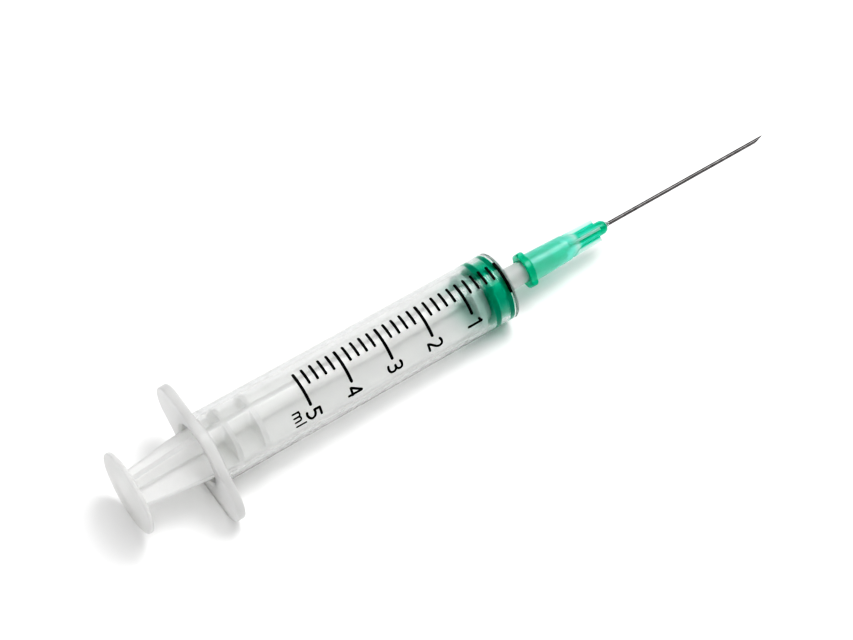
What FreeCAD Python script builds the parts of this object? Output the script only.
# Syringe with needle, 5 ml, luer slip, lying on its flange and nose.
# Millimetres.  The frame: origin on the barrel's axis at the zero graduation,
# +X along the axis to the needle's point, +Z up as the syringe lies.
import FreeCAD, Part
import math
import os
import Sketcher
from FreeCAD import Placement, Rotation, Vector

doc = FreeCAD.newDocument("syringe_with_needle")

# ------------------------------------------------------------------ dimensions
sheet = doc.addObject("Spreadsheet::Sheet", "dims")
VALUES = [
    # barrel: a moulded tube, bore 11.98, 44.375 of travel for 5 ml
    ("flange_rear", -65.75), ("flange_front", -63.90),
    ("bore_rad", 5.99), ("mouth_rad", 6.40), ("mouth_depth", 0.55),
    ("wall_rad_rear", 7.02), ("wall_rad_nose", 6.81), ("neck_rad", 7.55), ("neck_run", 0.50),
    ("nose_start", -6.0), ("nose_end", 0.60), ("nose_face", 0.92), ("nose_face_rad", 6.52),
    ("cone_end", 1.72), ("cone_end_rad", 2.75),
    ("end_inner", 0.32), ("end_inner_mid", 0.96),
    ("bead_centre", -61.0), ("bead_half", 0.75), ("bead_land", 0.22), ("bead_rad", 5.80),
    ("luer_start", 2.05), ("luer_end", 12.60), ("luer_rad_mouth", 2.160), ("luer_slope", 0.030),
    ("hub_mouth", 6.30), ("luer_lip", 0.25), ("luer_bore_rad", 1.10),
    # finger flange: two wings, straight sides tangent to the round tips
    ("wing_half", 14.2), ("wing_tip_rad", 5.30), ("wing_side", 8.20), ("wing_mid_rad", 4.50),
    ("flange_hole_rad", 6.60), ("flange_edge_rad", 0.38), ("flange_roll", 19.0),
    # plunger rod: cross section of two ribs, thumb disc, two webs, head and knob
    ("disc_outer", -80.40), ("disc_inner", -79.50), ("disc_rad", 8.20), ("disc_edge", 0.28),
    ("disc_boss", -79.05), ("disc_boss_rad", 3.2),
    ("rib_thick", 1.15), ("rib_rad_disc", 3.80), ("rib_rad", 5.62), ("rib_shoulder", -66.4),
    ("web_a", -59.70), ("web_b", -54.10), ("web_thick", 1.0), ("web_rad", 5.68), ("web_root_rad", 0.4),
    ("head_rear", -7.05), ("head_front", -5.65), ("head_rad", 5.60), ("collar_front", -4.25),
    ("collar_rad", 4.60), ("knob_neck_rad", 2.25), ("knob_rear", -3.10), ("knob_rad", 3.00),
    ("knob_front", -1.75), ("knob_edge", 0.30),
    # rubber stopper: two sealing ribs, a groove, a shallow cone at the front
    ("stop_rear", -4.20), ("stop_rad", 5.965), ("stop_groove_rad", 5.25), ("stop_rear_edge", 0.22),
    ("rib_one_front", -2.95), ("groove_rear", -2.55), ("groove_front", -0.90), ("rib_two_rear", -0.50),
    ("rib_two_front", 0.02), ("stop_face", 0.22), ("stop_face_rad", 5.55), ("stop_nose", 0.76),
    ("stop_nose_rad", 1.60), ("recess_neck_rad", 2.32), ("recess_step", -3.18), ("recess_rad", 3.08),
    ("recess_end", -1.65),
    # needle hub: a moulded female luer cone with two lugs and four fins
    ("hub_collar_rad", 3.10), ("hub_collar_end", 7.85), ("hub_body_start", 8.25), ("hub_rad_rear", 2.80),
    ("hub_rad_front", 2.56), ("hub_shoulder", 16.25), ("hub_shoulder_end", 19.40), ("hub_core_rad", 1.45),
    ("hub_core_end", 24.90), ("hub_core_end_rad", 1.36), ("hub_tip", 25.60), ("hub_tip_rad", 1.00),
    ("cone_gap", 0.030), ("cone_bottom", 15.00), ("throat_start", 15.90), ("throat_rad", 1.00),
    ("needle_bore_start", 16.50), ("needle_bore_rad", 0.42), ("well_rad", 0.80), ("well_bottom", 24.20),
    ("lug_rad", 3.72), ("lug_half", 1.70), ("lug_root", 2.60), ("lug_front", 8.15), ("lug_edge", 0.25),
    ("fin_start", 16.90), ("fin_end", 23.60), ("fin_rad_rear", 2.42), ("fin_rad_front", 2.24),
    ("fin_root", 1.05), ("fin_thick", 0.55), ("hub_roll", 29.46),
    # cannula: 21 gauge tube, 0.80 outside, 0.52 inside, its buried end ground to a slight taper
    ("can_rear", 16.00), ("can_tip", 64.35), ("can_rad", 0.40), ("can_lumen", 0.26), ("bevel_len", 2.55),
    ("can_key_rad", 0.36), ("can_key_end", 26.60),
    # adhesive bead in the hub's well
    ("glue_cone", 25.90), ("glue_cone_rad", 0.70), ("glue_end", 26.40), ("glue_end_rad", 0.44),
]
for k, (alias, value) in enumerate(VALUES, start=1):
    sheet.set("A%d" % k, alias)
    sheet.set("B%d" % k, repr(float(value)))
    sheet.setAlias("B%d" % k, alias)
doc.recompute()
D = dict(VALUES)


def number(expr):
    """The value of an expression in the sheet's aliases, for the first geometry."""
    out = sheet.evalExpression(expr)
    return float(getattr(out, "Value", out))


def plane(body, role):
    for feature in body.Origin.OriginFeatures:
        if feature.Role == role:
            return feature
    raise RuntimeError("no plane " + role)


def new_sketch(body, name, role, offset=None):
    sk = body.newObject("Sketcher::SketchObject", name)
    sk.AttachmentSupport = [(plane(body, role), "")]
    sk.MapMode = "FlatFace"
    if offset:
        sk.setExpression("AttachmentOffset.Base.z", offset)
    return sk


def pin_point(sk, geo, pos, xe, ye):
    """Hold a point of the sketch at two sheet expressions."""
    for kind, axis, expr in (("DistanceX", -2, xe), ("DistanceY", -1, ye)):
        value = number(expr)
        if abs(value) < 1e-9:
            sk.addConstraint(Sketcher.Constraint("PointOnObject", geo, pos, axis))
        else:
            c = sk.addConstraint(Sketcher.Constraint(kind, -1, 1, geo, pos, value))
            sk.setExpression("Constraints[%d]" % c, expr)


def polygon(sk, points):
    """Closed outline through points given as pairs of sheet expressions."""
    xy = [Vector(number(a), number(b), 0) for a, b in points]
    n = len(xy)
    first = sk.GeometryCount
    for i in range(n):
        sk.addGeometry(Part.LineSegment(xy[i], xy[(i + 1) % n]), False)
    for i in range(n):
        sk.addConstraint(Sketcher.Constraint("Coincident", first + i, 2, first + (i + 1) % n, 1))
    for i, (a, b) in enumerate(points):
        pin_point(sk, first + i, 1, a, b)
    return sk


def revolve(body, name, points):
    """Turn an outline in the plane of X and Y about the X axis."""
    sk = new_sketch(body, name + "_outline", "XY_Plane")
    polygon(sk, points)
    rev = body.newObject("PartDesign::Revolution", name)
    rev.Profile = sk
    rev.ReferenceAxis = (sk, ["H_Axis"])
    rev.Angle = 360.0
    sk.Visibility = False
    doc.recompute()
    return rev


def symmetric(feature):
    if hasattr(feature, "SideType"):
        feature.SideType = "Symmetric"
    else:
        feature.Midplane = True


def make_body(name, roll=None):
    body = doc.addObject("PartDesign::Body", name)
    body.Label = name
    if roll:
        body.Placement = Placement(Vector(0, 0, 0), Rotation(Vector(1, 0, 0), D[roll]))
        body.setExpression("Placement.Rotation.Angle", "dims.%s * 1 deg" % roll)
    return body


def d(text):
    """Write aliases short: every word of the sheet becomes dims.word."""
    out, word = "", ""
    for ch in text + " ":
        if ch.isalnum() or ch == "_":
            word += ch
        else:
            out += ("dims." + word) if word in D else word
            out += ch
            word = ""
    return out.strip()


def outline(*pairs):
    return [(d(a), d(b)) for a, b in pairs]


# ---------------------------------------------------------------------- barrel
barrel = make_body("barrel", roll="flange_roll")
revolve(barrel, "tube", outline(
    ("flange_rear", "mouth_rad"), ("flange_rear", "neck_rad"),
    ("flange_front", "neck_rad"), ("flange_front + neck_run", "wall_rad_rear"),
    ("nose_start", "wall_rad_nose"), ("nose_end", "wall_rad_nose"),
    ("nose_face", "nose_face_rad"), ("cone_end", "cone_end_rad"),
    ("luer_start", "luer_rad_mouth - luer_slope * (luer_start - hub_mouth)"),
    ("luer_end - luer_lip", "luer_rad_mouth - luer_slope * (luer_end - luer_lip - hub_mouth)"),
    ("luer_end", "luer_rad_mouth - luer_slope * (luer_end - hub_mouth) - luer_lip"),
    ("luer_end", "luer_bore_rad"), ("end_inner_mid", "luer_bore_rad"),
    ("end_inner", "bore_rad"),
    ("bead_centre + bead_half", "bore_rad"), ("bead_centre + bead_land", "bead_rad"),
    ("bead_centre - bead_land", "bead_rad"), ("bead_centre - bead_half", "bore_rad"),
    ("flange_rear + mouth_depth", "bore_rad")))

# finger flange: outline of four arcs joined by tangent lines, with room for the bore
sk = new_sketch(barrel, "flange_outline", "YZ_Plane", d("flange_rear"))
lean = math.asin((D["wing_side"] - D["wing_tip_rad"]) / (D["wing_half"] - D["wing_tip_rad"]))
tip_x = D["wing_half"] - D["wing_tip_rad"]
mid_y = (D["wing_side"] - D["wing_mid_rad"]) / math.cos(lean)
turn = math.pi / 2 - lean
centres = [((tip_x, 0), D["wing_tip_rad"], -turn, turn),
           ((0, mid_y), D["wing_mid_rad"], turn, math.pi - turn),
           ((-tip_x, 0), D["wing_tip_rad"], math.pi - turn, math.pi + turn),
           ((0, -mid_y), D["wing_mid_rad"], math.pi + turn, 2 * math.pi - turn)]
ends = []
for (cx, cy), r, a0, a1 in centres:
    circle = Part.Circle(Vector(cx, cy, 0), Vector(0, 0, 1), r)
    sk.addGeometry(Part.ArcOfCircle(circle, a0, a1), False)
    ends.append((Vector(cx + r * math.cos(a0), cy + r * math.sin(a0), 0),
                 Vector(cx + r * math.cos(a1), cy + r * math.sin(a1), 0)))
for i in range(4):
    sk.addGeometry(Part.LineSegment(ends[i][1], ends[(i + 1) % 4][0]), False)
for i in range(4):
    sk.addConstraint(Sketcher.Constraint("Tangent", i, 2, 4 + i, 1))
    sk.addConstraint(Sketcher.Constraint("Tangent", 4 + i, 2, (i + 1) % 4, 1))
LEAN = "asin((dims.wing_side - dims.wing_tip_rad) / (dims.wing_half - dims.wing_tip_rad))"
MID = "(dims.wing_side - dims.wing_mid_rad) / cos(%s)" % LEAN
TIP = "(dims.wing_half - dims.wing_tip_rad)"
for i, (xe, ye) in enumerate(((TIP, "0"), ("0", MID), ("-" + TIP, "0"), ("0", "-" + MID))):
    pin_point(sk, i, 3, xe, ye)
    c = sk.addConstraint(Sketcher.Constraint("Radius", i, centres[i][1]))
    sk.setExpression("Constraints[%d]" % c, d("wing_mid_rad" if i % 2 else "wing_tip_rad"))
sk.addGeometry(Part.Circle(Vector(0, 0, 0), Vector(0, 0, 1), D["flange_hole_rad"]), False)
sk.addConstraint(Sketcher.Constraint("Coincident", 8, 3, -1, 1))
c = sk.addConstraint(Sketcher.Constraint("Radius", 8, D["flange_hole_rad"]))
sk.setExpression("Constraints[%d]" % c, d("flange_hole_rad"))
doc.recompute()
pad = barrel.newObject("PartDesign::Pad", "finger_flange")
pad.Profile = sk
pad.setExpression("Length", d("flange_front - flange_rear"))
sk.Visibility = False
doc.recompute()
if pad.Shape.BoundBox.XMax < D["luer_end"] - 0.01 or pad.Shape.BoundBox.XMin < D["flange_rear"] - 0.01:
    pad.Reversed = True
    doc.recompute()

# the wings' rims are rounded
rim = []
for n, edge in enumerate(pad.Shape.Edges, start=1):
    mid = edge.valueAt((edge.FirstParameter + edge.LastParameter) / 2)
    on_face = min(abs(mid.x - D["flange_rear"]), abs(mid.x - D["flange_front"])) < 1e-4
    if on_face and math.hypot(mid.y, mid.z) > D["neck_rad"] + 0.1 and edge.BoundBox.XLength < 1e-4:
        rim.append("Edge%d" % n)
fillet = barrel.newObject("PartDesign::Fillet", "flange_rim")
fillet.Base = (pad, rim)
fillet.setExpression("Radius", d("flange_edge_rad"))
doc.recompute()

# ----------------------------------------------------------------- plunger rod
rod = make_body("plunger_rod")
for name, role in (("rib_upright", "XZ_Plane"), ("rib_flat", "XY_Plane")):
    sk = new_sketch(rod, name + "_outline", role)
    polygon(sk, outline(
        ("disc_inner - 0.3", "-rib_rad_disc"), ("rib_shoulder", "-rib_rad"), ("head_rear + 0.3", "-rib_rad"),
        ("head_rear + 0.3", "rib_rad"), ("rib_shoulder", "rib_rad"), ("disc_inner - 0.3", "rib_rad_disc")))
    rib = rod.newObject("PartDesign::Pad", name)
    rib.Profile = sk
    symmetric(rib)
    rib.setExpression("Length", d("rib_thick"))
    sk.Visibility = False
    doc.recompute()
revolve(rod, "thumb_disc", outline(
    ("disc_outer", "0"), ("disc_outer", "disc_rad - disc_edge"), ("disc_outer + disc_edge", "disc_rad"),
    ("disc_inner - disc_edge", "disc_rad"), ("disc_inner", "disc_rad - disc_edge"),
    ("disc_inner", "disc_boss_rad + 1"), ("disc_boss", "disc_boss_rad"), ("disc_boss", "0")))
for name, mid in (("web_rear", "web_a"), ("web_front", "web_b")):
    revolve(rod, name, outline(
        (mid + " - web_thick / 2", "0"), (mid + " - web_thick / 2", "web_rad"),
        (mid + " + web_thick / 2", "web_rad"), (mid + " + web_thick / 2", "0")))
revolve(rod, "head", outline(
    ("head_rear", "0"), ("head_rear", "head_rad"), ("head_front", "head_rad"),
    ("head_front", "collar_rad"), ("collar_front", "collar_rad"), ("collar_front", "knob_neck_rad"),
    ("knob_rear", "knob_neck_rad"), ("knob_rear", "knob_rad"), ("knob_front - knob_edge", "knob_rad"),
    ("knob_front", "knob_rad - knob_edge"), ("knob_front", "0")))

# --------------------------------------------------------------------- stopper
stopper = make_body("stopper")
revolve(stopper, "seal", outline(
    ("stop_rear", "recess_neck_rad"), ("stop_rear", "stop_rad - stop_rear_edge"),
    ("stop_rear + stop_rear_edge", "stop_rad"), ("rib_one_front", "stop_rad"),
    ("groove_rear", "stop_groove_rad"), ("groove_front", "stop_groove_rad"),
    ("rib_two_rear", "stop_rad"), ("rib_two_front", "stop_rad"), ("stop_face", "stop_face_rad"),
    ("stop_nose - 0.08", "stop_nose_rad"), ("stop_nose", "stop_nose_rad - 0.4"), ("stop_nose", "0"),
    ("recess_end", "0"), ("recess_end", "recess_rad"), ("recess_step", "recess_rad"),
    ("recess_step", "recess_neck_rad")))

# ------------------------------------------------------------------ needle hub
hub = make_body("needle_hub", roll="hub_roll")
shell = revolve(hub, "shell", outline(
    ("hub_mouth", "luer_rad_mouth + cone_gap + 0.22"), ("hub_mouth", "hub_collar_rad - 0.18"),
    ("hub_mouth + 0.18", "hub_collar_rad"), ("hub_collar_end", "hub_collar_rad"),
    ("hub_body_start", "hub_rad_rear"), ("hub_shoulder", "hub_rad_front"),
    ("hub_shoulder_end", "hub_core_rad"), ("hub_core_end", "hub_core_end_rad"),
    ("hub_tip", "hub_tip_rad"), ("hub_tip", "well_rad"), ("well_bottom", "well_rad"),
    ("well_bottom", "needle_bore_rad"), ("needle_bore_start", "needle_bore_rad"),
    ("throat_start", "throat_rad"),
    ("cone_bottom", "luer_rad_mouth + cone_gap - luer_slope * (cone_bottom - hub_mouth)"),
    ("hub_mouth + 0.3", "luer_rad_mouth + cone_gap - luer_slope * 0.3")))
# lugs, on opposite sides of the collar
sk = new_sketch(hub, "lug_outline", "YZ_Plane", d("hub_mouth"))
polygon(sk, outline(
    ("lug_root", "-lug_half"), ("lug_rad - lug_edge", "-lug_half"), ("lug_rad", "-lug_half + lug_edge"),
    ("lug_rad", "lug_half - lug_edge"), ("lug_rad - lug_edge", "lug_half"), ("lug_root", "lug_half")))
lug = hub.newObject("PartDesign::Pad", "lug")
lug.Profile = sk
lug.setExpression("Length", d("lug_front - hub_mouth"))
sk.Visibility = False
doc.recompute()
if lug.Shape.BoundBox.XMin < D["hub_mouth"] - 0.01:
    lug.Reversed = True
    doc.recompute()
lugs = hub.newObject("PartDesign::PolarPattern", "lugs")
lugs.Originals = [lug]
lugs.Axis = (plane(hub, "X_Axis"), [""])
lugs.Angle = 360.0
lugs.Occurrences = 2
hub.Tip = lugs
doc.recompute()
# fins, four round the core
sk = new_sketch(hub, "fin_outline", "XY_Plane")
polygon(sk, outline(
    ("fin_start", "fin_root"), ("fin_end", "fin_root"), ("fin_end", "fin_rad_front"),
    ("fin_start", "fin_rad_rear")))
fin = hub.newObject("PartDesign::Pad", "fin")
fin.Profile = sk
symmetric(fin)
fin.setExpression("Length", d("fin_thick"))
sk.Visibility = False
doc.recompute()
fins = hub.newObject("PartDesign::PolarPattern", "fins")
fins.Originals = [fin]
fins.Axis = (plane(hub, "X_Axis"), [""])
fins.Angle = 360.0
fins.Occurrences = 4
hub.Tip = fins
doc.recompute()

# --------------------------------------------------------------------- cannula
cannula = make_body("cannula", roll="hub_roll")
tube = revolve(cannula, "tube_wall", outline(
    ("can_rear", "can_lumen"), ("can_rear", "can_key_rad"), ("can_key_end", "can_rad"),
    ("can_tip", "can_rad"), ("can_tip", "can_lumen")))
before = tube.Shape.Volume
sk = new_sketch(cannula, "bevel_outline", "XY_Plane")
polygon(sk, outline(
    ("can_tip - bevel_len", "-can_rad"), ("can_tip", "can_rad"), ("can_tip + 1", "can_rad"),
    ("can_tip + 1", "-can_rad - 0.5"), ("can_tip - bevel_len", "-can_rad - 0.5")))
bevel = cannula.newObject("PartDesign::Pocket", "bevel")
bevel.Profile = sk
symmetric(bevel)
bevel.Length = 4.0
sk.Visibility = False
doc.recompute()
print("bevel removes", round(before - bevel.Shape.Volume, 4), "mm3")
if before - bevel.Shape.Volume < 0.1:
    raise SystemExit("the bevel cut nothing")

# -------------------------------------------------------------------- adhesive
glue = make_body("needle_adhesive")
KEY = "can_key_rad + (can_rad - can_key_rad) * (%s - can_rear) / (can_key_end - can_rear)"
revolve(glue, "bead", outline(
    ("well_bottom", KEY % "well_bottom"), ("well_bottom", "well_rad"), ("hub_tip", "well_rad"),
    ("glue_cone", "glue_cone_rad"), ("glue_end", "glue_end_rad"), ("glue_end", KEY % "glue_end")))

# ---------------------------------------------------------------------- checks
doc.recompute()
bad = [o.Name for o in doc.Objects if "Invalid" in o.State or "Error" in o.State]
if bad:
    raise SystemExit("failed objects: " + ", ".join(bad))
PARTS = [barrel, rod, stopper, hub, cannula, glue]
for body in PARTS:
    shape = body.Shape
    if shape.isNull() or not shape.isValid() or len(shape.Solids) != 1:
        raise SystemExit("bad shape in " + body.Label)
    bb = shape.BoundBox
    print("%-16s %9.2f mm3  X %8.3f %8.3f  Y %7.3f %7.3f  Z %7.3f %7.3f" % (
        body.Label, shape.Volume, bb.XMin, bb.XMax, bb.YMin, bb.YMax, bb.ZMin, bb.ZMax))

os.makedirs("parts", exist_ok=True)
for body in PARTS:
    body.Shape.exportStep("parts/" + body.Label + ".step")
print("wrote", len(PARTS), "files")
